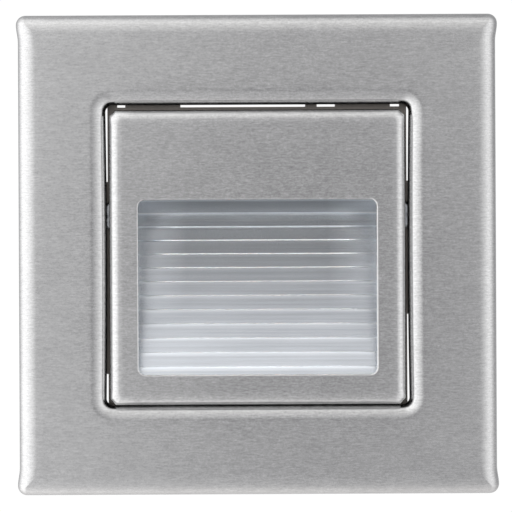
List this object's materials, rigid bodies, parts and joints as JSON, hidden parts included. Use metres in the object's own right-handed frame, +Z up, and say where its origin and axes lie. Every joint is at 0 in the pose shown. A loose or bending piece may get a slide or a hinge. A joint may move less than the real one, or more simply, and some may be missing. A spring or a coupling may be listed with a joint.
{
  "type": "step light",
  "caption": "Square flush-mounted step light: satin steel frame, centre cover with a light window, slanted ribbed reflector, and a wall-box housing with spreading claws.",
  "frame": {"origin": "on the wall's surface, at the middle of the circle of wall-box screws and on the wall box's axis", "axes": "+X to the right as seen from the room, +Y into the wall along the wall box's axis, +Z up"},
  "size_m": [0.0864, 0.0426, 0.086],
  "materials": {
    "satin_stainless": "satin, fine horizontal grain",
    "black_plastic": "fine moulded texture",
    "foam_rubber": "closed-cell foam",
    "galvanised_sheet": "bright galvanised",
    "spring_steel": "plain spring strip",
    "zinc_plated": "bright zinc plate",
    "plain_brass": "tumbled",
    "copper_strip": "bright strip",
    "orange_plastic": "moulded",
    "grey_plastic": "fine moulded texture",
    "chamber_plastic": "smooth moulded",
    "satin_aluminium": "satin anodised extrusion",
    "plain_aluminium": "mill finish",
    "polyester_sheet": "milky sheet",
    "frosted_lens": "frosted",
    "white_board": "white solder mask on aluminium",
    "led_phosphor": "yellow resin",
    "thermal_rubber": "soft pad",
    "red_wire": "smooth insulation",
    "black_wire": "smooth insulation",
    "white_nylon": "nylon",
    "green_board": "solder mask on glass fibre",
    "black_sleeve": "shrunk sleeve",
    "ferrite": "matt ferrite",
    "copper_wire": "enamelled copper wire",
    "film_case": "potted case",
    "black_epoxy": "moulded epoxy",
    "resistor_lacquer": "lacquered",
    "varistor_coat": "dipped epoxy",
    "terminal_plastic": "moulded"
  },
  "bodies": {
    "base": {"support_ring": "galvanised_sheet", "frame_clips": "spring_steel", "catch_springs": "spring_steel", "terminal_springs": "spring_steel", "claw_pins": "zinc_plated", "ring_screws": "zinc_plated", "rear_cover_screws": "zinc_plated", "led_board_screws": "zinc_plated", "terminal_contacts": "copper_strip", "housing": "grey_plastic", "rear_cover": "grey_plastic", "light_chamber": "chamber_plastic", "reflector": "satin_aluminium", "heat_spreader": "plain_aluminium", "spreader_rivets": "plain_aluminium", "insulation_sheet": "polyester_sheet", "led_lens": "frosted_lens", "led_board": "white_board", "leds": "led_phosphor", "thermal_pad": "thermal_rubber", "led_wire_positive": "red_wire", "led_wire_negative": "black_wire", "led_plug": "white_nylon", "led_header": "white_nylon", "driver_board": "green_board", "input_capacitor": "black_sleeve", "output_capacitor": "black_sleeve", "choke_core": "ferrite", "choke_winding": "copper_wire", "film_capacitor": "film_case", "bridge_rectifier": "black_epoxy", "driver_chip": "black_epoxy", "fuse_resistor": "resistor_lacquer", "varistor": "varistor_coat", "terminal_body": "terminal_plastic"},
    "cover": {"center_cover": "satin_stainless", "center_carrier": "black_plastic"},
    "frame": {"frame_cover": "satin_stainless", "frame_carrier": "black_plastic", "frame_seal": "foam_rubber"},
    "claw_screw_left": {"claw_screw_left": "zinc_plated"},
    "claw_nut_left": {"claw_nut_left": "plain_brass"},
    "claw_left": {"claw_left": "galvanised_sheet"},
    "release_button_left": {"release_button_left": "orange_plastic"},
    "claw_screw_right": {"claw_screw_right": "zinc_plated"},
    "claw_nut_right": {"claw_nut_right": "plain_brass"},
    "claw_right": {"claw_right": "galvanised_sheet"},
    "release_button_right": {"release_button_right": "orange_plastic"}
  },
  "joints": [
    {"name": "cover_pull", "type": "slide", "parent": "base", "child": "cover", "axis": [0, -1, 0], "range_m": [0, 0.012]},
    {"name": "frame_pull", "type": "slide", "parent": "base", "child": "frame", "axis": [0, -1, 0], "range_m": [0, 0.012]},
    {"name": "claw_screw_left_turn", "type": "hinge", "parent": "base", "child": "claw_screw_left", "pos_m": [-0.0263, 0, 0.007], "axis": [0, 1, 0], "range_deg": [0, 1800]},
    {"name": "claw_nut_left_travel", "type": "slide", "parent": "base", "child": "claw_nut_left", "axis": [0, -1, 0], "range_m": [0, 0.004]},
    {"name": "claw_left_swing", "type": "hinge", "parent": "base", "child": "claw_left", "pos_m": [-0.026, 0.0024, 0.007], "axis": [0, 0, 1], "range_deg": [0, 13]},
    {"name": "release_button_left_press", "type": "slide", "parent": "base", "child": "release_button_left", "axis": [0, -1, 0], "range_m": [0, 0.0012], "stiffness_N_per_m": 1500, "springref_m": -0.0005},
    {"name": "claw_screw_right_turn", "type": "hinge", "parent": "base", "child": "claw_screw_right", "pos_m": [0.0263, 0, 0.007], "axis": [0, 1, 0], "range_deg": [0, 1800]},
    {"name": "claw_nut_right_travel", "type": "slide", "parent": "base", "child": "claw_nut_right", "axis": [0, -1, 0], "range_m": [0, 0.004]},
    {"name": "claw_right_swing", "type": "hinge", "parent": "base", "child": "claw_right", "pos_m": [0.026, 0.0024, 0.007], "axis": [0, 0, -1], "range_deg": [0, 13]},
    {"name": "release_button_right_press", "type": "slide", "parent": "base", "child": "release_button_right", "axis": [0, -1, 0], "range_m": [0, 0.0012], "stiffness_N_per_m": 1500, "springref_m": -0.0005}
  ],
  "couplings": [
    {"joint": "claw_screw_left_turn", "follows": "claw_nut_left_travel", "rad_per_m": 7854},
    {"joint": "claw_left_swing", "follows": "claw_nut_left_travel", "rad_per_m": 56.723},
    {"joint": "claw_screw_right_turn", "follows": "claw_nut_right_travel", "rad_per_m": 7854},
    {"joint": "claw_right_swing", "follows": "claw_nut_right_travel", "rad_per_m": 56.723}
  ]
}
